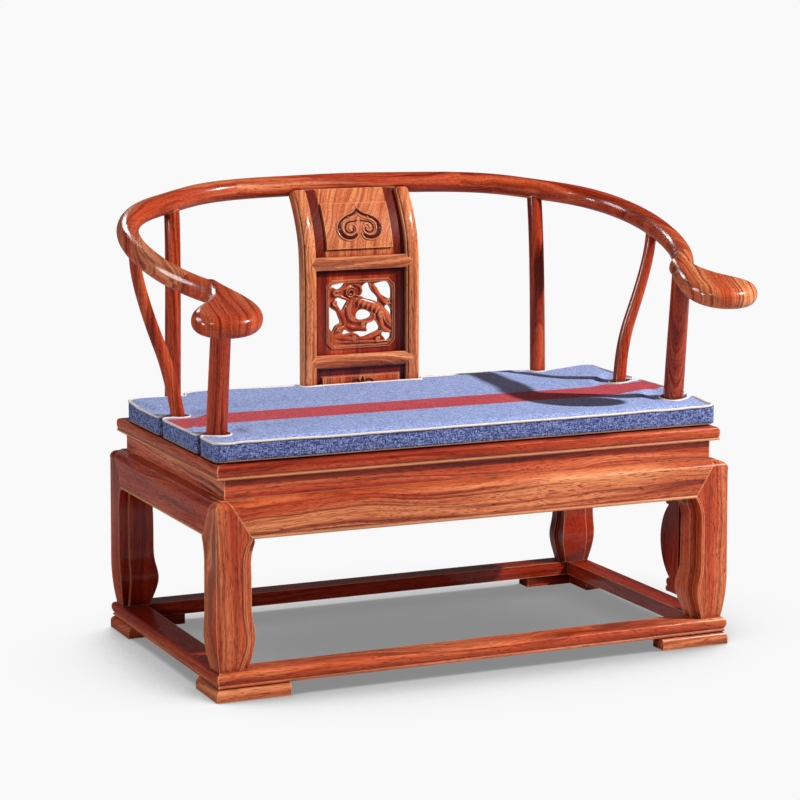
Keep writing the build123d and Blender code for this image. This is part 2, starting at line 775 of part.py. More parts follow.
def splat(rail_back_point):
    """Stiles, cross rails and three panels of the splat."""
    stations = splat_line(rail_back_point)
    inner = SPLAT_WIDTH / 2 - STILE_WIDTH
    front = PANEL_SETBACK - SPLAT_THICKNESS / 2
    thin = (front, front + SPLAT_PANEL)
    low = (CROSS_RAIL_LOW, CROSS_RAIL_LOW + CROSS_RAIL_HEIGHT)
    high = (CROSS_RAIL_HIGH, CROSS_RAIL_HIGH + CROSS_RAIL_HEIGHT)
    gaps = {"top": (high[1], SPLAT_TOP), "middle": (low[1], high[0]), "bottom": (SEAT_TOP, low[0])}
    into = SPLAT_GROOVE
    panels = {}
    for name, gap in gaps.items():
        foot_z = gap[0] - (into if name != "bottom" else 0)
        head_z = gap[1] + (into if name != "top" else 0)
        panels[name] = splat_slice(stations, thin, (-inner - into, inner + into), (foot_z, head_z))
    arrows = [seen_through(arrow_face(foot_z)) for foot_z in (low[0], high[0])]
    right = stile(stations) - arrows - list(panels.values())
    parts = {"splat_stile_right": right, "splat_stile_left": mirror(right, Plane.YZ)}
    for name, foot_z in (("lower", low[0]), ("upper", high[0])):
        parts["splat_rail_" + name] = cross_rail(stations, foot_z) - list(panels.values())
    fields = {
        "top": (TOP_FIELD_SIDE, TOP_FIELD_END, rail_back_point.Z - RAIL_RADIUS),
        "bottom": (BOTTOM_FIELD_SIDE, BOTTOM_FIELD_END, gaps["bottom"][1]),
    }
    for name, (side, end, head_z) in fields.items():
        z_range = (gaps[name][0] + end, head_z - end)
        field = splat_slice(stations, (front - FIELD_RISE, front), (side - inner, inner - side), z_range)
        parts["splat_panel_" + name] = panels[name] + field
    centre = Location((0, (low[1] + high[0]) / 2 - WINDOW_DROP))
    holes = seen_through(centre * openwork())
    rim = seen_through(centre * (window_face(RIM_WIDTH) - window_face(0)))
    rim = rim & splat_slice(stations, (front - RIM_RISE, front), (-inner, inner), gaps["middle"])
    parts["splat_panel_middle"] = panels["middle"] - holes + rim
    return parts


# ---------------------------------------------------------------- brackets and cushion
def bracket():
    """Scroll-cut board between the front-left leg and the side rail of the seat."""
    foot_z = WAIST_TOP - BRACKET_DROP
    notch_z = LEG_TOP - BRACKET_NOTCH
    y = LEG_CORE - LEG_HALF[1]
    full = BRACKET_REACH
    face = closed_face(
        (y, WAIST_TOP),
        [(y + full * 0.75, WAIST_TOP)],
        [(y + full * 0.75, notch_z)],
        [(y + full * 0.70, notch_z - 5), (y + full * 0.55, notch_z - 7)],
        [(y + full, (notch_z - 7 + foot_z + 29) / 2), (y + full * 0.42, foot_z + 29)],
        [(y + full * 0.63, foot_z + 20), (y + full * 0.57, foot_z + 12)],
        [(y + full * 0.66, foot_z + 6), (y + full * 0.54, foot_z)],
        [(y, foot_z)],
    )
    x = LEG_CORE - LEG_HALF[0] - BRACKET_THICKNESS
    return Location((x, 0, 0)) * extrude(Plane.YZ * face, BRACKET_THICKNESS)


def cushion(paths):
    """Loose box cushion, slit from its ends to let the posts through."""
    half = CUSHION_WIDTH / 2
    step_y = CUSHION_REAR
    rear_y = CUSHION_REAR + CUSHION_STEP
    splat_room = SPLAT_FOOT_Y - SPLAT_THICKNESS / 2 - POST_ROOM
    plan = Rectangle(CUSHION_WIDTH, CUSHION_FRONT + step_y, align=(Align.CENTER, Align.MIN))
    plan = Location((0, -CUSHION_FRONT)) * fillet(plan.vertices(), CUSHION_CORNER)
    inner = REAR_POST_X - REAR_POST_RADIUS - POST_ROOM
    tongue = Rectangle(inner * 2, CUSHION_STEP * 2, align=(Align.CENTER, Align.MAX))
    tongue = fillet(tongue.vertices(), min(CUSHION_CORNER, CUSHION_STEP / 2))
    plan += Location((0, rear_y)) * tongue
    splat_gap = Rectangle(SPLAT_WIDTH + POST_ROOM * 2, rear_y, align=(Align.CENTER, Align.MIN))
    plan -= Location((0, splat_room)) * splat_gap
    head = SEAT_TOP + CUSHION_THICKNESS + CUSHION_LIFT
    radii = {"side_post": SIDE_POST_RADIUS, "front_post": FRONT_POST_RADIUS}
    for name, radius in radii.items():
        path = paths[name]
        low = path @ first_share(path, lambda p: p.Z > SEAT_TOP)
        high = path @ first_share(path, lambda p: p.Z > head)
        across = high.X - low.X
        along = high.Y - low.Y
        turn = Rotation(0, 0, degrees(atan2(along, across)))
        eye = turn * SlotCenterToCenter(hypot(across, along), (radius + POST_ROOM) * 2)
        eye = Location(((low.X + high.X) / 2, (low.Y + high.Y) / 2)) * eye
        slit = Location(((low.X + half) / 2, low.Y)) * Rectangle(half - low.X + MARGIN, SLIT_WIDTH)
        plan -= eye + slit
        plan -= mirror(eye + slit, Plane.YZ)
    for sign in (-1, 1):
        plan -= Location((sign * REAR_POST_X, REAR_POST_Y)) * Circle(REAR_POST_RADIUS + POST_ROOM)
    return Location((0, 0, SEAT_TOP + CUSHION_GAP)) * extrude(plan, CUSHION_THICKNESS)


# ---------------------------------------------------------------- the whole settee
def build():
    parts = {}
    for side, bar in floor_frame().items():
        parts["floor_rail_" + side] = bar
    one_foot = foot()
    one_leg = leg()
    for corner in CORNERS:
        parts["foot_" + corner] = at_corner(one_foot, corner)
        parts["leg_" + corner] = at_corner(one_leg, corner)
    for side, bar in aprons(one_leg).items():
        parts["apron_" + side] = bar
    for side, bar in waist_boards().items():
        parts["waist_" + side] = bar
    line = rail_line()
    rail_parts, pins = rail_sections(line)
    right_rail = list(rail_parts.values())
    cores = []
    paths = post_paths(line)
    for name, (bar, core) in posts(paths).items():
        right = bar - right_rail + core
        cores += [core, mirror(core, Plane.YZ)]
        parts[name + "_right"] = right
        parts[name + "_left"] = mirror(right, Plane.YZ)
    neck_middle = (WAIST_INNER + LEG_CORE) / 2
    neck = leg_tenon(WAIST_TOP - 1, WAIST_TOP + NECK_TENON_LENGTH, NECK_TENON, neck_middle)
    necks = [at_corner(neck, corner) for corner in CORNERS]
    battens = {"left": batten(-1), "right": batten(1)}
    for side, bar in frame_of(seat_section(), SEAT_HALF, SEAT_RAIL_WIDTH).items():
        parts["seat_rail_" + side] = bar - cores - necks - list(battens.values())
    for side, bar in battens.items():
        parts["seat_batten_" + side] = bar
    parts["seat_panel"] = seat_panel()
    for name, piece in splat(line @ 0.5).items():
        parts[name] = piece - rail_parts["rail_back"]
    for name, piece in rail_parts.items():
        whole = piece - cores
        parts[name] = whole
        if name.endswith("_right"):
            parts[name.replace("_right", "_left")] = mirror(whole, Plane.YZ)
    parts["rail_scarf_pins"] = Compound(pins)
    one_bracket = bracket()
    parts["leg_bracket_left"] = one_bracket
    parts["leg_bracket_right"] = mirror(one_bracket, Plane.YZ)
    parts["cushion"] = cushion(paths)
    return parts


def main():
    os.makedirs("parts", exist_ok=True)
    parts = build()
    box = Compound(list(parts.values())).bounding_box()
    shift = Location((0, -(box.min.Y + box.max.Y) / 2, 0))
    for name, shape in parts.items():
        export_step(shift * shape, "parts/" + name + ".step")


main()
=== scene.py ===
import math

import bmesh
import bpy
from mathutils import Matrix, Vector
from mathutils.bvhtree import BVHTree


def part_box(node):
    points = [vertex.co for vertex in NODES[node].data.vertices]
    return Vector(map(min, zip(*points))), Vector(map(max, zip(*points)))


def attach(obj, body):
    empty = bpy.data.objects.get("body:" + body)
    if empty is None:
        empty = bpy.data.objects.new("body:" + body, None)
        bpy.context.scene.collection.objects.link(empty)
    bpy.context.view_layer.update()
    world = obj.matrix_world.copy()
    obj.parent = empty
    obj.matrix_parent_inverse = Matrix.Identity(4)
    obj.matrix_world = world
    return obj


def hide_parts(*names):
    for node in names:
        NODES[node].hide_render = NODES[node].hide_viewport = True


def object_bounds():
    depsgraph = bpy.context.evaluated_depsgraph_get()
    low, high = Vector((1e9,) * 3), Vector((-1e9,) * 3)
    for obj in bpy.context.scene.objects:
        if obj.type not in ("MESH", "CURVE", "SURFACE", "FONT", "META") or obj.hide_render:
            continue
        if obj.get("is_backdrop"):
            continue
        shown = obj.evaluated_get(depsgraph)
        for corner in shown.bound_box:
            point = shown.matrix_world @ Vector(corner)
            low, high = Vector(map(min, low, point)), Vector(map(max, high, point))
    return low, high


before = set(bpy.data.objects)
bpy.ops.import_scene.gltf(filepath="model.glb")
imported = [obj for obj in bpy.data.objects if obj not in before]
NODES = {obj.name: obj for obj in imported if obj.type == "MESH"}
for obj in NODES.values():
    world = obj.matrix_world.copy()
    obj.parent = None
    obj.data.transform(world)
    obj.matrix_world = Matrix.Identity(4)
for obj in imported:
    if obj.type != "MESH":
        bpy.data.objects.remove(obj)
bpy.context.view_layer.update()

SCENE = bpy.context.scene
WHITE = (1, 1, 1, 1)


def linear(red, green, blue):
    """A colour given in 0-255 display values, as Blender's linear RGBA."""
    def channel(value):
        value /= 255.0
        return value / 12.92 if value <= 0.04045 else ((value + 0.055) / 1.055) ** 2.4
    return (channel(red), channel(green), channel(blue), 1.0)


def limited(value):
    return max(0.0, min(1.0, value))


# ---------------------------------------------------------------- camera
# Solved from the right angles of the floor frame, the aprons and the seat frame in the photo.
CAMERA_PLACE = (-2.3112, -5.1083, 1.4332)
CAMERA_DOWN = 9.198
CAMERA_TURN = -24.034
FOCAL_LENGTH = 116.96
SENSOR_WIDTH = 36.0

cam_data = bpy.data.cameras.new("camera")
cam_data.lens = FOCAL_LENGTH
cam_data.sensor_width = SENSOR_WIDTH
cam_data.sensor_fit = "HORIZONTAL"
cam_data.clip_start = 0.1
cam_data.clip_end = 60.0
camera = bpy.data.objects.new("camera", cam_data)
camera.location = CAMERA_PLACE
camera.rotation_euler = (math.radians(90.0 - CAMERA_DOWN), 0.0, math.radians(CAMERA_TURN))
SCENE.collection.objects.link(camera)
SCENE.camera = camera
SCENE.view_settings.view_transform = "Standard"


# ---------------------------------------------------------------- shader nodes
def new_node(tree, kind, **settings):
    made = tree.nodes.new("ShaderNode" + kind)
    for key, value in settings.items():
        setattr(made, key, value)
    return made


class Shader:
    """A material's node tree, with one short call for each kind of node."""

    def __init__(self, name):
        self.material = bpy.data.materials.new(name)
        self.material.use_nodes = True
        self.tree = self.material.node_tree
        self.tree.nodes.clear()
        self.out = self.node("OutputMaterial")

    def node(self, kind, **settings):
        return new_node(self.tree, kind, **settings)

    def put(self, value, socket):
        """Links a socket to an input, or sets the input's own value."""
        if isinstance(value, bpy.types.NodeSocket):
            self.tree.links.new(value, socket)
        else:
            socket.default_value = value

    def fed(self, made, *values):
        """The node, with its first inputs set to the values."""
        for value, socket in zip(values, made.inputs):
            self.put(value, socket)
        return made

    def place(self, scale=(1, 1, 1), turn=(0, 0, 0), shift=(0, 0, 0), vector=None):
        """Object coordinates, or those given, that are scaled, turned and then shifted."""
        mapping = self.node("Mapping")
        if vector is None:
            vector = self.node("TexCoord").outputs["Object"]
        for value, key in ((vector, "Vector"), (shift, "Location"), (turn, "Rotation"), (scale, "Scale")):
            self.put(value, mapping.inputs[key])
        return mapping.outputs["Vector"]

    def noise(self, vector, detail=2.0, roughness=0.5, output="Fac"):
        made = self.node("TexNoise")
        for value, key in ((vector, "Vector"), (1.0, "Scale"), (detail, "Detail"), (roughness, "Roughness")):
            self.put(value, made.inputs[key])
        return made.outputs[output]

    def math(self, operation, *values):
        return self.fed(self.node("Math", operation=operation), *values).outputs[0]

    def split(self, vector):
        return self.fed(self.node("SeparateXYZ"), vector).outputs

    def join(self, *values):
        return self.fed(self.node("CombineXYZ"), *values).outputs[0]

    def vectors(self, operation, output, *values):
        return self.fed(self.node("VectorMath", operation=operation), *values).outputs[output]

    def ramp(self, fac, *stops):
        """Colour ramp with stops of a position and a colour or a grey."""
        made = self.node("ValToRGB")
        elements = made.color_ramp.elements
        while len(elements) < len(stops):
            elements.new(0.5)
        for element, (position, colour) in zip(elements, stops):
            element.position = position
            element.color = colour if hasattr(colour, "__len__") else (colour, colour, colour, 1)
        self.put(fac, made.inputs["Fac"])
        return made.outputs["Color"]

    def mix(self, fac, a, b, blend="MIX"):
        made = self.node("Mix", data_type="RGBA", blend_type=blend)
        # Inputs 6 and 7 and output 2 are the ones in use for colours.
        for value, number in ((fac, 0), (a, 6), (b, 7)):
            self.put(value, made.inputs[number])
        return made.outputs[2]

    def bump(self, height, strength, distance):
        made = self.node("Bump")
        for value, key in ((strength, "Strength"), (distance, "Distance"), (height, "Height")):
            self.put(value, made.inputs[key])
        return made.outputs["Normal"]

    def principled(self, **inputs):
        made = self.node("BsdfPrincipled")
        for key, value in inputs.items():
            self.put(value, made.inputs[key.replace("_", " ")])
        self.put(made.outputs[0], self.out.inputs["Surface"])


# ---------------------------------------------------------------- lacquered rosewood
WOOD_TONES = (linear(170, 52, 24), linear(224, 98, 52), linear(250, 166, 110))
STREAK = linear(124, 40, 26)
# Pale colour of the painted highlight along edges.
EDGE_HIGHLIGHT_COLOUR = linear(255, 190, 136)
HEART_Y, HEART_Z = 0.16, -0.05  # the log's heart in the turned and shifted frame
WARP = 0.085  # metres by which the growth rings stray from round
CORNER_BEND = 1.25  # curve of the lines in a rail corner, which follows part of the rail's own
# Reach of the painted shade that darkens the wood in crevices, corners and recesses.
CREVICE_SHADE_REACH = 0.022
# Radius of the bevel that finds the edges for the painted highlight.
EDGE_HIGHLIGHT_REACH = 0.0035
FOOT_HEIGHT = 0.02  # the strip above a lower edge that the bead's painted highlight and the quirk's painted shade are drawn in


def growth_rings(s, along, seed, middle_x):
    """The log's warped coordinates, and the same as length, distance from the heart and seed."""
    bend = s.noise(s.place((1.7, 5.0, 5.0), vector=along), detail=3.0, output="Color")
    warped = s.vectors("MULTIPLY_ADD", 0, bend, (0.0, WARP, WARP), along)
    x, y, z = s.split(warped)
    if middle_x is not None:
        reach = s.math("SUBTRACT", x, middle_x)
        y = s.math("ADD", y, s.math("MULTIPLY", s.math("MULTIPLY", reach, reach), CORNER_BEND))
    across = s.join(0.0, s.math("SUBTRACT", y, HEART_Y), s.math("SUBTRACT", z, HEART_Z))
    radius = s.vectors("LENGTH", "Value", across)
    return warped, s.join(x, radius, seed * 0.71)


def shaded_beyond_field(s, colour, field):
    """Painted shade: darker wood outside a raised field, where the field and frame cast shadow; the field is
    given by its middle and half size in x and z.
    """
    middle_x, half_x, middle_z, half_z = field
    x, _, z = s.split(s.place())
    out_x = s.math("SUBTRACT", s.math("ABSOLUTE", s.math("SUBTRACT", x, middle_x)), half_x)
    out_z = s.math("SUBTRACT", s.math("ABSOLUTE", s.math("SUBTRACT", z, middle_z)), half_z)
    # Painted shade in the recess around the field.
    painted_recess_shade = s.ramp(s.math("MAXIMUM", out_x, out_z), (0.0, WHITE), (0.003, linear(132, 52, 44)))
    return s.mix(0.95, colour, painted_recess_shade, "MULTIPLY")


def bead_highlight_and_quirk_shade(s, colour, foot):
    """Painted highlight on the bead along a lower edge, and painted shade in the quirk above it."""
    above = s.math("MULTIPLY", s.math("SUBTRACT", s.split(s.place())[2], foot), 1 / FOOT_HEIGHT)
    bead_highlight = s.ramp(above, (0.0, 0.5), (0.24, 0.5), (0.29, 0.0))
    quirk_shade = s.ramp(above, (0.28, WHITE), (0.32, linear(130, 50, 36)), (0.40, linear(150, 70, 54)), (0.48, WHITE))
    colour = s.mix(bead_highlight, colour, linear(252, 176, 120))
    return s.mix(0.95, colour, quirk_shade, "MULTIPLY")


def rosewood(name, turn, seed, tone=0.5, streak=1.0, offset=None, middle_x=None, field=None, edge_highlight_share=0.6, foot=None):
    """Lacquered wood: growth rings cut along the X axis of the turned frame, streaks and pores, with painted
    shade in crevices and a painted highlight along edges.
    """
    s = Shader(name)
    offset = offset or (0.37 * seed % 1.7, 0.23 * seed % 0.9, 0.31 * seed % 1.1)
    along = s.place(turn=turn, shift=offset)
    warped, rings = growth_rings(s, along, seed, None if middle_x is None else offset[0] + middle_x)
    broad = s.noise(s.place((0.9, 30, 1), vector=rings), detail=3.0)
    lines = s.noise(s.place((2.0, 130, 1), vector=rings), detail=5.0, roughness=0.65)
    fibre = s.noise(s.place((7, 900, 900), vector=warped), detail=2.0, roughness=0.6)
    pores = s.noise(s.place((34, 800, 800), vector=warped), detail=1.0, roughness=0.5)
    blotch = s.noise(s.place((3, 9, 9), vector=along), detail=2.0)
    # Painted shade: the wood is darkened where it is hemmed in, in crevices, corners and recesses.
    painted_crevice_shade = s.node("AmbientOcclusion", samples=6)
    s.put(CREVICE_SHADE_REACH, painted_crevice_shade.inputs["Distance"])

    # A piece with a higher tone shows more of the pale wood.
    shift = (0.5 - tone) * 0.3
    colour = s.ramp(broad, *[(spot + shift, tint) for spot, tint in zip((0.28, 0.5, 0.76), WOOD_TONES)])
    # Grain, pores and blotches are the wood's own; the last row is painted shade in crevices.
    for pattern, share, *stops in (
        (lines, min(1.0, 0.65 * streak), (0.38, STREAK), (0.47, linear(220, 182, 160)), (0.53, WHITE)),
        (fibre, 0.7, (0.36, linear(196, 150, 128)), (0.52, WHITE)),
        (pores, 0.8, (0.34, linear(120, 62, 44)), (0.42, WHITE)),
        (blotch, 0.8, (0.35, linear(226, 196, 186)), (0.65, WHITE)),
        (painted_crevice_shade.outputs["AO"], 0.85, (0.25, linear(110, 26, 16)), (0.6, linear(206, 150, 140)), (0.86, WHITE)),
    ):
        colour = s.mix(share, colour, s.ramp(pattern, *stops), "MULTIPLY")
    if field:
        colour = shaded_beyond_field(s, colour, field)
    # Painted highlight on the lower bead and painted shade in its quirk.
    if foot is not None:
        colour = bead_highlight_and_quirk_shade(s, colour, foot)

    # Painted highlight: a pale line along every edge, found with the bevel normal.
    rounded = s.node("Bevel", samples=4)
    s.put(EDGE_HIGHLIGHT_REACH, rounded.inputs["Radius"])
    straight = s.node("NewGeometry").outputs["Normal"]
    edge = s.math("SUBTRACT", 1.0, s.vectors("DOT_PRODUCT", "Value", rounded.outputs[0], straight))
    edge_highlight_mask = s.ramp(edge, (0.012, 0.0), (0.11, 1.0))
    colour = s.mix(s.math("MULTIPLY", edge_highlight_mask, edge_highlight_share), colour, EDGE_HIGHLIGHT_COLOUR)
    s.principled(
        Base_Color=colour, Roughness=s.ramp(pores, (0.3, 0.46), (0.6, 0.3)),
        Normal=s.bump(pores, 0.10, 0.0003), Specular_IOR_Level=0.12, Coat_Weight=0.45, Coat_Roughness=0.13,
    )
    return s.material


X_GRAIN = (0, 0, 0)
Y_GRAIN = (0, 0, math.radians(90))
Z_GRAIN = (0, math.radians(90), 0)
UPRIGHT = ("leg_", "front_post", "side_post", "rear_post", "splat_stile", "splat_panel")
# Degrees about Z from the world to the grain of a piece that lies askew.
TURNS = {"rail_corner_left": -52, "rail_corner_right": 52, "hand_left": 92, "hand_right": 102}
# Pieces sawn from beside the heart, so that their lines run straight along the turned X axis.
OFFSETS = {
    "rail_corner_left": (0.4, 0.5, -0.9), "rail_corner_right": (0.9, 0.6, -0.9),
    "hand_left": (0.2, -0.4, -0.82), "hand_right": (0.3, 0.55, -0.84),
}
# Where along the turned X axis the bend of a rail corner's lines is deepest.
BENDS = {"rail_corner_left": -0.178, "rail_corner_right": 0.178}
# A piece's tone; the low tones of the rear legs, the brackets, the rear and right floor rails, the rear right
# foot and the waist front are painted shade.
TONES_AND_SHADE = {
    "rail_back": 0.6, "rail_corner_left": 1.05, "rail_corner_right": 0.25, "hand_left": 0.5, "hand_right": 1.2,
    "front_post_left": -0.1, "front_post_right": 0.5, "side_post_right": 0.2, "rear_post_left": 0.2,
    "rear_post_right": 0.0, "splat_stile_left": 1.5, "splat_stile_right": 1.4, "splat_rail_lower": 1.4,
    "splat_rail_upper": 1.5, "splat_panel_top": 1.4, "splat_panel_middle": 0.1, "splat_panel_bottom": 1.1,
    "seat_rail_front": 0.4, "seat_rail_left": 0.3, "waist_front": 0.25, "waist_left": 0.9, "apron_front": 0.8,
    "apron_left": 0.5, "leg_front_left": 0.7, "leg_front_right": 0.7, "leg_rear_left": -0.2,
    "leg_rear_right": -0.6, "leg_bracket_left": -0.4, "leg_bracket_right": -0.6, "floor_rail_front": 0.85,
    "floor_rail_rear": -0.7, "floor_rail_right": -0.7, "foot_front_left": 1.4, "foot_front_right": 1.4,
    "foot_rear_right": -0.3,
}
STREAKS = {"hand_": 1.25, "rail_": 1.3, "waist_left": 1.6, "front_post": 1.35, "rear_post": 1.3, "apron_": 1.15}
# Middle and half size, in x and then z, of the raised fields, outside which the wood gets painted shade.
FIELDS = {
    "splat_panel_top": (0.0, 0.081, 0.9, 0.2),
    "splat_panel_middle": (-0.0125, 0.0985, 0.666, 0.1),
    "splat_panel_bottom": (0.0, 0.095, 0.4395, 0.1),
}


def streak_of(node):
    return next((value for start, value in STREAKS.items() if node.startswith(start)), 1.0)


def grain_of(node):
    if node in TURNS:
        return (0, 0, math.radians(TURNS[node]))
    if node.startswith(UPRIGHT):
        return Z_GRAIN
    low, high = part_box(node)
    return Y_GRAIN if high[1] - low[1] > high[0] - low[0] else X_GRAIN


for number, (name, piece) in enumerate(sorted(NODES.items())):
    if name == "cushion":
        continue
    # The joints of the round rail are rubbed flush, so their edges get only a faint painted highlight.
    edge_highlight_share = 0.1 if name.startswith(("rail_", "hand_")) else 0.6
    material = rosewood(
        "rosewood_" + name, grain_of(name), number + 1, TONES_AND_SHADE.get(name, 0.5), streak_of(name),
        offset=OFFSETS.get(name), middle_x=BENDS.get(name), field=FIELDS.get(name), edge_highlight_share=edge_highlight_share,
        foot=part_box(name)[0][2] if name.startswith(("apron_", "seat_rail_")) else None,
    )
    piece.data.materials.clear()
    piece.data.materials.append(material)


# ---------------------------------------------------------------- pieces and surfaces
def add_piece(name, mesh, body, material):
    made = bpy.data.objects.new(name, mesh)
    SCENE.collection.objects.link(made)
    mesh.materials.clear()
    mesh.materials.append(material)
    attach(made, body)
    return made


def tree_of(mesh):
    return BVHTree.FromPolygons([v.co for v in mesh.vertices], [p.vertices for p in mesh.polygons])


def finish_mesh(bm, name):
    bmesh.ops.recalc_face_normals(bm, faces=bm.faces)
    for face in bm.faces:
        face.smooth = True
    mesh = bpy.data.meshes.new(name)
    bm.to_mesh(mesh)
    bm.free()
    return mesh


def smooth_line(points, step):
    """Points about a step apart on a Catmull-Rom curve through the given ones."""
    ends = [2 * points[0] - points[1]] + points + [2 * points[-1] - points[-2]]
    made = []
    for a, b, c, d in zip(ends, ends[1:], ends[2:], ends[3:]):
        count = max(2, int((c - b).length / step))
        for number in range(count):
            t = number / count
            made.append(
                0.5 * (2 * b + (c - a) * t + (2 * a - 5 * b + 4 * c - d) * t * t
                       + (3 * b - a - 3 * c + d) * t ** 3)
            )
    made.append(points[-1])
    return made


# ---------------------------------------------------------------- carving on the splat
RIDGE_STEP = 0.002
RIDGE_POINTS = 7
HOLE_DEPTH = 0.012


class Panel:
    """Front surface of a splat piece, addressed by x and z."""

    def __init__(self, node):
        self.tree = tree_of(NODES[node].data)

    def depth(self, x, z):
        hit = self.tree.ray_cast(Vector((x, -1.0, z)), Vector((0, 1, 0)))[0]
        return hit.y if hit else None


def ridge(bm, panel, points, width, height, centre, lift=0.0, taper=0.35):
    """Half-round strip on a panel's front, on points, width, height and lift in millimetres.

    Over the fifth at each end, its width and height fall to the taper's share.
    """
    path = smooth_line([Vector((x / 1000, 0, z / 1000)) for x, z in points], RIDGE_STEP)
    rows = []
    known = [panel.depth(centre[0] + p.x, centre[1] + p.z) for p in path]
    solid = [value for value in known if value is not None]
    if not solid:
        return
    last = solid[0]
    for number, (spot, depth) in enumerate(zip(path, known)):
        # A spot over a hole keeps the depth of the wood beside it.
        if depth is not None and abs(depth - last) < HOLE_DEPTH:
            last = depth
        before = path[max(0, number - 1)]
        after = path[min(len(path) - 1, number + 1)]
        ahead = (after - before).normalized()
        side = Vector((ahead.z, 0, -ahead.x))
        share = number / (len(path) - 1)
        end = min(1.0, taper + (1 - taper) * min(share, 1 - share) * 5)
        row = []
        for k in range(RIDGE_POINTS):
            u = -1 + 2 * k / (RIDGE_POINTS - 1)
            high = height * math.sqrt(max(0.0, 1 - u * u)) * end
            place = spot + side * (width / 2000 * u * end)
            row.append(
                bm.verts.new((centre[0] + place.x, last - high / 1000 - lift / 1000, centre[1] + place.z))
            )
        rows.append(row)
    for one, two in zip(rows, rows[1:]):
        for k in range(RIDGE_POINTS - 1):
            bm.faces.new((one[k], one[k + 1], two[k + 1], two[k]))


def spiral(x, z, radius):
    """A scroll of 1.8 turns about a point, wound in to a quarter of its radius, in millimetres."""
    turns = 1.8
    count = int(20 * turns)
    made = []
    for k in range(count + 1):
        share = k / count
        angle = 0.6 + 2 * math.pi * turns * share
        size = radius + (radius * 0.25 - radius) * share
        made.append((x + size * math.cos(angle), z + size * math.sin(angle)))
    return made


# The openwork dragon, from the middle of the window: width, height and points of each stroke.
STROKES = (
    (20, 5.0, [(-27, 36), (3, 26), (27, 18), (50, 4), (65, -13), (75, -31)]),
    (16, 4.5, [(-20, 32), (-29, 19), (-30, 3), (-24, -12), (-5, -19)]),
    (10, 4.0, [(-69, 27), (-59, 13), (-49, -1), (-42, -15), (-42, -29)]),
    (9, 4.0, [(-42, -29), (-57, -33), (-67, -44)]),
    (12, 4.0, [(-37, -25), (-20, -32), (-2, -33), (12, -32)]),
    (6, 3.5, [(-5, -19), (12, -20), (27, -17), (34, -8), (27, -2)]),
    (12, 4.5, [(40, 10), (47, -8), (50, -27), (57, -39), (75, -46)]),
    (10, 4.0, [(57, -39), (42, -47), (22, -55), (-2, -58), (-32, -56), (-67, -52)]),
    (7, 3.0, [(-67, -63), (-3, -65), (67, -66)]),
    (10, 4.0, [(30, 66), (33, 54), (42, 42), (52, 30), (60, 23), (75, 19)]),
    (7, 4.0, [(-19, 68), (-5, 63), (0, 51), (-7, 38)]),
    (8, 4.0, [(-64, 46), (-49, 40), (-29, 32)]),
    (8, 4.0, [(-66, 56), (-52, 54), (-39, 60), (-22, 64)]),
)
SCROLLS = ((-27, 49, 13), (-63, 49, 8), (-66, 25, 6), (64, 24, 7), (47, -5, 7), (-56, -34, 6), (40, -62, 6),
           (3, -27, 5), (-20, -56, 5))
SPINE = [(-18, 44), (8, 35), (32, 26), (54, 12), (72, -12)]
TAIL = [(52, -4), (60, -22), (76, -36)]
CHEST = ((-24, 32), (-36, 18), (-37, 2), (-28, -16), (-8, -24))
CHEST_MIDDLE = (-22, 6)

low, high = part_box("splat_panel_middle")
splat_x = (low[0] + high[0]) / 2
window = (splat_x + 0.002, 0.6815)
middle = Panel("splat_panel_middle")
bm = bmesh.new()
for width, height, points in STROKES:
    ridge(bm, middle, points, width, height, window)
for x, z, radius in SCROLLS:
    ridge(bm, middle, spiral(x, z, radius), 4.2, 3.0, window, 2.6, 1.0)
for rib in range(6):
    x, z = -16 + 11 * rib, 32 - 4.4 * rib
    ridge(bm, middle, [(x - 5, z - 11), (x - 1, z - 2), (x + 4, z + 5)], 3.6, 2.2, window, 3.6)
for points in (SPINE, TAIL):
    ridge(bm, middle, points, 3.6, 2.4, window, 2.4)
for shrink in (0.82, 0.55):
    fold = [tuple(m + (value - m) * shrink for value, m in zip(point, CHEST_MIDDLE)) for point in CHEST]
    ridge(bm, middle, fold, 3.6, 2.4, window, 2.6)
carving_wood = rosewood("rosewood_carving", Z_GRAIN, 71, 0.15, 0.6)
add_piece("splat_carving", finish_mesh(bm, "splat_carving"), "frame", carving_wood)

# The ruyi cloud, from its middle: the right half of its rims and of the channel between them.
OUTER = [(0, 47), (-6, 36), (-17, 29), (-31, 24), (-46, 15), (-55, 0), (-52, -15), (-42, -26), (-27, -30),
         (-12, -27), (-3, -16)]
INNER = [(0, 27), (-9, 20), (-20, 17), (-32, 13), (-40, 4), (-41, -8), (-33, -17), (-22, -19), (-12, -14),
         (-8, -5), (-12, 3), (-20, 5), (-26, -1), (-24, -8), (-18, -9)]
WIDE = [(0, 37), (-8, 28), (-20, 23), (-34, 18), (-46, 9), (-49, -4), (-45, -17), (-34, -24), (-22, -25),
        (-13, -22), (-8, -17)]
NARROW = [(-3, 13), (-14, 11), (-26, 9), (-33, 2), (-34, -7), (-28, -13), (-20, -13), (-15, -8), (-16, -2)]
STUDS = ((-49, -5), (-24, 21), (-6, -15))

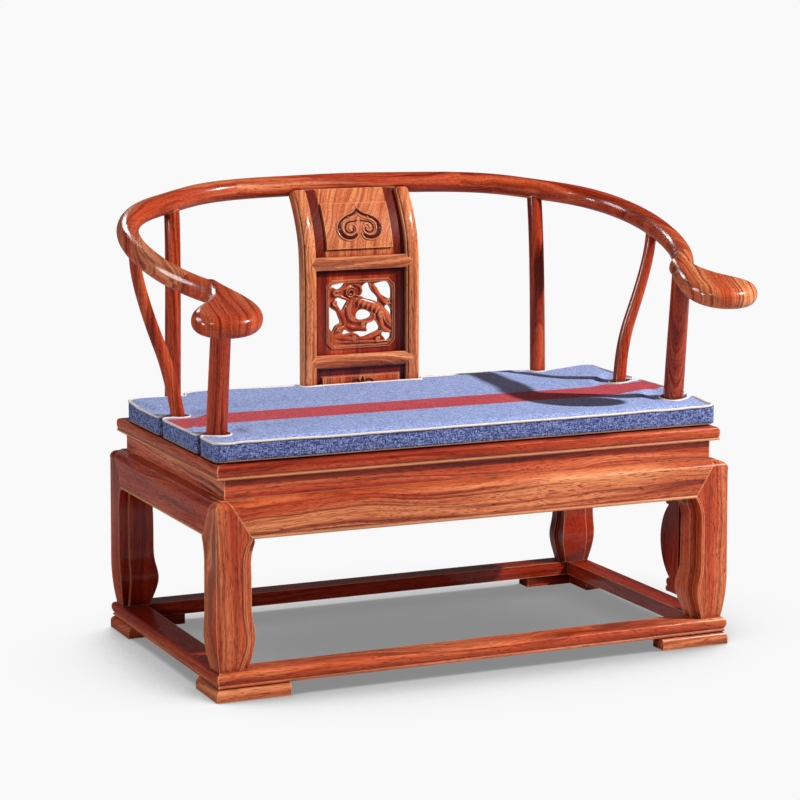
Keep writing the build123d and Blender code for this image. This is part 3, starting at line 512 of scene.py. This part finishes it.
groove = Shader("groove_shade")
grit = groove.noise(groove.place((300, 300, 300)))
groove.principled(
    Base_Color=groove.ramp(grit, (0.3, linear(52, 14, 10)), (0.7, linear(84, 26, 18))), Roughness=0.6,
    Specular_IOR_Level=0.1,
)
top = Panel("splat_panel_top")
cloud = (splat_x + 0.003, 0.879)
rims = bmesh.new()
channel = bmesh.new()
for sign in (-1, 1):
    for bm, points, width, height, lift in (
        (rims, OUTER, 3.4, 2.8, 0.0), (rims, INNER, 3.0, 2.6, 0.0), (channel, WIDE, 9.0, 0.4, 0.5),
        (channel, NARROW, 4.0, 0.4, 0.5),
    ):
        ridge(bm, top, [(x * sign, z) for x, z in points], width, height, cloud, lift, 0.8)
    for x, z in STUDS:
        ridge(rims, top, [(x * sign - 1.6, z), (x * sign + 1.6, z)], 3.2, 1.8, cloud, 0.9, 0.9)
# Painted highlight: the cloud's rims and the stile beads get paler wood than the panels.
pale_highlight_wood = rosewood("rosewood_cloud", Z_GRAIN, 72, 1.2, 0.3)
add_piece("cloud_rims", finish_mesh(rims, "cloud_rims"), "frame", pale_highlight_wood)
add_piece("cloud_channel", finish_mesh(channel, "cloud_channel"), "frame", groove.material)

LEAF_VEINS = (
    [(0, 24), (3, 10), (0, -8)], [(4, 8), (14, 18), (26, 12), (34, 0)], [(3, 2), (12, 4), (22, -8)],
    [(2, -6), (12, -14), (30, -16)],
)
bottom = Panel("splat_panel_bottom")
leaf = (splat_x + 0.003, 0.513)
bm = bmesh.new()
for sign in (-1, 1):
    for points in LEAF_VEINS:
        ridge(bm, bottom, [(x * sign, z) for x, z in points], 3.0, 2.0, leaf)
add_piece("leaf_carving", finish_mesh(bm, "leaf_carving"), "frame", groove.material)

STILE_START, STILE_STEP, STILE_POINTS = 62, 20, 22  # run of bead and line up a stile, in mm
beads = bmesh.new()
lines = bmesh.new()
for side in ("left", "right"):
    node = "splat_stile_" + side
    low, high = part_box(node)
    stile = Panel(node)
    for bm, inset, width, height in ((beads, 1.6, 2.4, 1.5), (lines, 4.6, 2.2, 0.4)):
        run = [(inset, low[2] * 1000 + STILE_START + STILE_STEP * k) for k in range(STILE_POINTS)]
        ridge(bm, stile, run, width, height, (low[0], 0.0), 0.3)
add_piece("stile_beads", finish_mesh(beads, "stile_beads"), "frame", pale_highlight_wood)
add_piece("stile_lines", finish_mesh(lines, "stile_lines"), "frame", groove.material)

# ---------------------------------------------------------------- cushion cover
TOP_YARNS = (linear(104, 124, 192), linear(184, 202, 244))
SIDE_YARNS = (linear(38, 42, 92), linear(92, 104, 164), linear(166, 184, 226))
STRIPE_YARNS = (linear(166, 40, 56), linear(214, 88, 96))
STRIPE_Y = (-0.1135, 0.0045)
YARN_PITCH = 0.0021


def linen(name):
    """Coarse weave in two yarns, darker on the sides than on top, with a red stripe along the top."""
    s = Shader(name)
    place = s.split(s.place())
    facing = s.split(s.node("NewGeometry").outputs["True Normal"])
    up = s.ramp(facing[2], (0.45, 0.0), (0.75, 1.0))
    waves = [s.math("SINE", s.math("MULTIPLY", socket, 2 * math.pi / YARN_PITCH)) for socket in place]
    weave_top = s.math("MULTIPLY", waves[0], waves[1])
    weave_side = s.math("MULTIPLY", s.math("ADD", waves[0], waves[1]), waves[2])
    weave = s.mix(up, weave_side, weave_top)
    slub, cross, upright = [
        s.noise(s.place(scale), detail=3.0, roughness=0.65)
        for scale in ((90, 420, 420), (420, 90, 420), (380, 380, 110))
    ]
    heather = s.noise(s.place((230, 230, 300)), detail=2.0, roughness=0.6)
    thread = s.math("MULTIPLY", s.math("ADD", s.math("ADD", slub, cross), upright), 0.3333)
    thread = s.math("ADD", thread, s.math("MULTIPLY", weave, 0.03))
    thread = s.math("ADD", thread, s.math("MULTIPLY", s.math("SUBTRACT", heather, 0.5), 0.22))
    top_colour = s.ramp(thread, *zip((0.42, 0.56), TOP_YARNS))
    side_colour = s.ramp(thread, *zip((0.43, 0.50, 0.60), SIDE_YARNS))
    colour = s.mix(up, side_colour, top_colour)
    y = s.math("ADD", place[1], s.math("MULTIPLY", s.math("SUBTRACT", thread, 0.5), 0.004))
    inside = s.math("MULTIPLY", s.math("GREATER_THAN", y, STRIPE_Y[0]), s.math("LESS_THAN", y, STRIPE_Y[1]))
    red = s.ramp(thread, *zip((0.42, 0.56), STRIPE_YARNS))
    colour = s.mix(s.math("MULTIPLY", inside, up), colour, red)
    s.principled(
        Base_Color=colour, Roughness=0.92, Normal=s.bump(thread, 0.5, 0.0012), Specular_IOR_Level=0.05,
        Sheen_Weight=0.06, Sheen_Roughness=0.5,
    )
    return s.material


VOXEL, QUICK_VOXEL = 0.006, 0.012
COVER_INSET = 0.0035  # the cover starts this far inside the CAD cushion
HELD_HEIGHT = 0.003  # its lowest part lies on the seat and is held
FRAMES = 20
MOST_UP, MOST_OUT = 0.0055, 0.0045  # limits of what the stuffing adds on top and on the sides


def stuffed(mesh, normals):
    """The mesh as a cloth bag under pressure, with its moves kept outward and small."""
    rest = [v.co.copy() for v in mesh.vertices]
    soft = bpy.data.objects.new("cushion_soft", mesh)
    SCENE.collection.objects.link(soft)
    floor_z = min(v.z for v in rest)
    held = soft.vertex_groups.new(name="held")
    held.add([i for i, v in enumerate(rest) if v.z < floor_z + HELD_HEIGHT], 1.0, "REPLACE")
    cloth = soft.modifiers.new("cloth", "CLOTH")
    for key, value in (
        ("vertex_group_mass", "held"), ("quality", 5), ("mass", 0.3), ("tension_stiffness", 20),
        ("compression_stiffness", 20), ("bending_stiffness", 1.5), ("use_pressure", True),
        ("uniform_pressure_force", 4),
    ):
        setattr(cloth.settings, key, value)
    cloth.settings.effector_weights.gravity = 0
    cloth.point_cache.frame_start = 1
    cloth.point_cache.frame_end = FRAMES
    for moment in range(1, FRAMES + 1):
        SCENE.frame_set(moment)
    graph = bpy.context.evaluated_depsgraph_get()
    filled = bpy.data.meshes.new_from_object(soft.evaluated_get(graph))
    bpy.data.objects.remove(soft)
    SCENE.frame_set(1)
    for vertex, was, normal in zip(filled.vertices, rest, normals):
        out = max(0.0, (vertex.co - was).dot(normal))
        vertex.co = was + normal * min(out, MOST_UP if normal.z > 0.9 else MOST_OUT)
    return filled


def puffed_cushion():
    """The CAD cushion's shape as a cloth box, remeshed and then stuffed."""
    start = bpy.data.objects.new("cushion_start", NODES["cushion"].data.copy())
    SCENE.collection.objects.link(start)
    remesh = start.modifiers.new("voxels", "REMESH")
    remesh.mode = "VOXEL"
    remesh.voxel_size = VOXEL
    graph = bpy.context.evaluated_depsgraph_get()
    mesh = bpy.data.meshes.new_from_object(start.evaluated_get(graph))
    bpy.data.objects.remove(start)
    normals = [v.normal.copy() for v in mesh.vertices]
    for vertex, normal in zip(mesh.vertices, normals):
        vertex.co -= normal * COVER_INSET
    return stuffed(mesh, normals)


def swell(x, y):
    """How far the cushion's top stands above its drawn height, beyond what the stuffing gives.

    In the photo its right end stands up by up to 12 mm, and the rest of its rear edge by 4 mm.
    """
    right = limited((x - 0.44) / 0.11)
    inner = limited((y + 0.27) / 0.08)
    back = limited((y - 0.18) / 0.08) * 0.004 * (1 - right)
    return right * (0.002 + 0.010 * inner) + back


low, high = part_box("cushion")
base_z, top_z = low[2], high[2]
mid_z = (base_z + top_z) / 2
cushion_mesh = puffed_cushion()
for vertex in cushion_mesh.vertices:
    share = limited((vertex.co.z - base_z) / (top_z - base_z))
    vertex.co.z += swell(vertex.co.x, vertex.co.y) * share * share
    # The right end reaches 9 mm further than the left one.
    vertex.co.x += limited((vertex.co.x - 0.52) / 0.05) * 0.009
for polygon in cushion_mesh.polygons:
    polygon.use_smooth = True
cushion = add_piece("cushion_cover", cushion_mesh, "cushion", linen("cushion_linen"))
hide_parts("cushion")
smoother = cushion.modifiers.new("rounded", "SUBSURF")
smoother.levels = 1
smoother.render_levels = 1

# ---------------------------------------------------------------- piping
SEAM_STEP = 0.005
SEAM_OUT = 0.001  # start this far outside the drawn edge, to find the cover's corner
SEAM_PROBE = 0.014  # distance inside the edge where the cover's height is taken
SEAM_SUNK = 0.35  # share of its radius by which a seam's middle stands off the cover
POST_GAP = 0.0008
LIFTS = (0.0, 0.01, 0.02, 0.03, 0.04)  # heights over the slide's travel


def outline_of(mesh, level):
    """Closed loop of corner points round the flat face of a mesh at a height."""
    bm = bmesh.new()
    bm.from_mesh(mesh)
    bmesh.ops.remove_doubles(bm, verts=bm.verts, dist=1e-5)
    rim = {}
    for edge in bm.edges:
        a, b = edge.verts
        if abs(a.co.z - level) < 1e-4 and abs(b.co.z - level) < 1e-4:
            flat = sum(1 for f in edge.link_faces if abs(f.normal.z) > 0.9)
            if flat == 1:
                rim.setdefault(a.index, []).append(b.index)
                rim.setdefault(b.index, []).append(a.index)
    bm.verts.ensure_lookup_table()
    places = [v.co.copy() for v in bm.verts]
    bm.free()
    loops = []
    left = set(rim)
    while left:
        loop = [min(left)]
        left.discard(loop[0])
        while True:
            following = [k for k in rim[loop[-1]] if k in left]
            if not following:
                break
            loop.append(following[0])
            left.discard(following[0])
        loops.append([places[k] for k in loop])
    return max(loops, key=len)


def sides_of(loop):
    return list(zip(loop, loop[1:] + loop[:1]))


def resampled(loop):
    """Evenly spaced points round a closed loop."""
    made = []
    spare = 0.0
    for a, b in sides_of(loop):
        length = (b - a).length
        while spare < length:
            made.append(a.lerp(b, spare / length))
            spare += SEAM_STEP
        spare -= length
    return made


cover_tree = tree_of(cushion_mesh)
POST_TREES = [tree_of(NODES[name].data) for name in sorted(NODES) if name.startswith(("front_post", "side_post"))]


def clear_of_posts(spot, gap):
    """Move a point of a seam sideways, so that it keeps off the posts while the cushion lifts."""
    for lift in LIFTS:
        for tree in POST_TREES:
            raised = spot + Vector((0, 0, lift))
            found, normal, _, distance = tree.find_nearest(raised, 0.02)
            if found is None:
                continue
            inside = (raised - found).dot(normal) < 0
            short = gap - (-distance if inside else distance)
            if short > 0:
                spot = spot + Vector((normal.x, normal.y, 0)).normalized() * short
    return spot


def closed_tube(path, radius, name):
    """Round cord of eight sides along a closed path."""
    sides = 8
    bm = bmesh.new()
    rings = []
    for number, spot in enumerate(path):
        ahead = (path[(number + 1) % len(path)] - path[number - 1]).normalized()
        side = ahead.cross(Vector((0, 0, 1)))
        if side.length < 0.1:
            side = ahead.cross(Vector((0, 1, 0)))
        side.normalize()
        over = side.cross(ahead)
        ring = []
        for k in range(sides):
            angle = 2 * math.pi * k / sides
            ring.append(bm.verts.new(spot + radius * (math.cos(angle) * side + math.sin(angle) * over)))
        rings.append(ring)
    for one, two in sides_of(rings):
        for k in range(sides):
            bm.faces.new((one[k], one[(k + 1) % sides], two[(k + 1) % sides], two[k]))
    return finish_mesh(bm, name)


def seam(level, radius, name, material):
    """Piping laid along the cushion's edge at a height, kept on the stuffed cover."""
    loop = outline_of(NODES["cushion"].data, level)
    if sum(a.x * b.y - b.x * a.y for a, b in sides_of(loop)) < 0:
        loop.reverse()
    points = resampled(loop)
    count = len(points)
    path = []
    for number, spot in enumerate(points):
        ahead = (points[(number + 1) % count] - points[number - 1]).normalized()
        inside = Vector((-ahead.y, ahead.x, 0))
        near = spot - inside * SEAM_OUT
        probe = spot + inside * SEAM_PROBE
        if level > mid_z:
            hit = cover_tree.ray_cast(Vector((probe.x, probe.y, level + 0.1)), Vector((0, 0, -1)))[0]
            near.z = (hit.z if hit else level) + SEAM_OUT
        found, normal, _, _ = cover_tree.find_nearest(near)
        path.append(found + normal * radius * SEAM_SUNK)
    for _ in range(6):
        path = [path[k] * 0.5 + (path[k - 1] + path[(k + 1) % count]) * 0.25 for k in range(count)]
    path = [clear_of_posts(spot, radius + POST_GAP) for spot in path]
    add_piece(name, closed_tube(path, radius, name), "cushion", material)


def cord(name, dark, pale, **inputs):
    """Twisted cotton in two tones."""
    s = Shader(name)
    twist = s.noise(s.place((500, 500, 500)))
    s.principled(
        Base_Color=s.ramp(twist, (0.35, dark), (0.6, pale)), Roughness=0.85, Normal=s.bump(twist, 0.4, 0.0005),
        **inputs,
    )
    return s.material


cream = cord("cream_cord", linear(222, 208, 192), linear(250, 242, 230), Sheen_Weight=0.2)
tan = cord("tan_cord", linear(120, 84, 60), linear(176, 138, 104))
seam(top_z, 0.0026, "cushion_piping", cream)
seam(base_z, 0.0014, "cushion_foot_seam", tan)

# ---------------------------------------------------------------- floor and world
FLOOR_HALF = 40
FLOOR_DROP = 0.0005
FLOOR_BOUNCE = (0.55, 0.55, 0.55, 1.0)
SHADOW_REACH = 0.9
# Grey seen on the floor for each openness to the sky, as the photo's soft shadow falls off.
SHADOW_GREYS = ((0.1, 135), (0.4, 140), (0.5, 166), (0.57, 200), (0.63, 228), (0.72, 244), (0.86, 249))
BACKDROP = linear(249, 249, 249)
SKY = (1.0, 0.76, 0.78, 1)
SKY_STRENGTH = 0.1


def seen_or_lit(tree, lit, seen, out):
    """One shader for the camera's rays and another for all other rays."""
    rays = new_node(tree, "LightPath")
    either = new_node(tree, "MixShader")
    tree.links.new(rays.outputs["Is Camera Ray"], either.inputs[0])
    tree.links.new(lit.outputs[0], either.inputs[1])
    tree.links.new(seen.outputs[0], either.inputs[2])
    tree.links.new(either.outputs[0], out.inputs["Surface"])


corners = [(-FLOOR_HALF, -FLOOR_HALF, 0), (FLOOR_HALF, -FLOOR_HALF, 0), (FLOOR_HALF, FLOOR_HALF, 0),
           (-FLOOR_HALF, FLOOR_HALF, 0)]
floor_mesh = bpy.data.meshes.new("floor")
floor_mesh.from_pydata(corners, [], [(0, 1, 2, 3)])
floor = bpy.data.objects.new("floor", floor_mesh)
floor.location = (0, 0, -FLOOR_DROP)
SCENE.collection.objects.link(floor)
floor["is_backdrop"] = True
paint = Shader("floor_paint")
bounce = paint.node("BsdfDiffuse")
paint.put(FLOOR_BOUNCE, bounce.inputs["Color"])
open_sky = paint.node("AmbientOcclusion", samples=24)
paint.put(SHADOW_REACH, open_sky.inputs["Distance"])
shade = paint.node("Emission")
greys = [(openness, linear(grey, grey, grey)) for openness, grey in SHADOW_GREYS]
paint.put(paint.ramp(open_sky.outputs["AO"], *greys), shade.inputs["Color"])
seen_or_lit(paint.tree, bounce, shade, paint.out)
floor_mesh.materials.append(paint.material)

world = bpy.data.worlds.new("studio")
SCENE.world = world
world.use_nodes = True
tree = world.node_tree
tree.nodes.clear()
lit = new_node(tree, "Background")
seen = new_node(tree, "Background")
lit.inputs["Color"].default_value = SKY
lit.inputs["Strength"].default_value = SKY_STRENGTH
seen.inputs["Color"].default_value = BACKDROP
seen_or_lit(tree, lit, seen, new_node(tree, "OutputWorld"))


# ---------------------------------------------------------------- lamps
AIM = Vector((0, 0, 0.5))
LAMP_DISTANCE = 6.0


def lamp(name, toward, size, power, gloss_only=False):
    """A round lamp that faces the seat from a direction, and may show in reflections alone."""
    data = bpy.data.lights.new(name, "AREA")
    data.shape = "DISK"
    data.size = size
    data.energy = power
    made = bpy.data.objects.new(name, data)
    direction = Vector(toward).normalized()
    made.location = AIM + direction * LAMP_DISTANCE
    made.rotation_euler = (-direction).to_track_quat("-Z", "Y").to_euler()
    made.visible_diffuse = not gloss_only
    SCENE.collection.objects.link(made)


lamp("key", (0.634, -0.483, 0.604), 0.16, 440)
lamp("side", (-0.95, -0.25, 0.2), 1.2, 112)
lamp("sheen_left", (-0.6, -0.65, 0.45), 1.1, 50, gloss_only=True)
lamp("sheen_side", (-0.84, 0.22, 0.51), 2.7, 320, gloss_only=True)
lamp("sheen_back", (-0.05, 0.8, 0.57), 1.3, 60, gloss_only=True)

low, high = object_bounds()
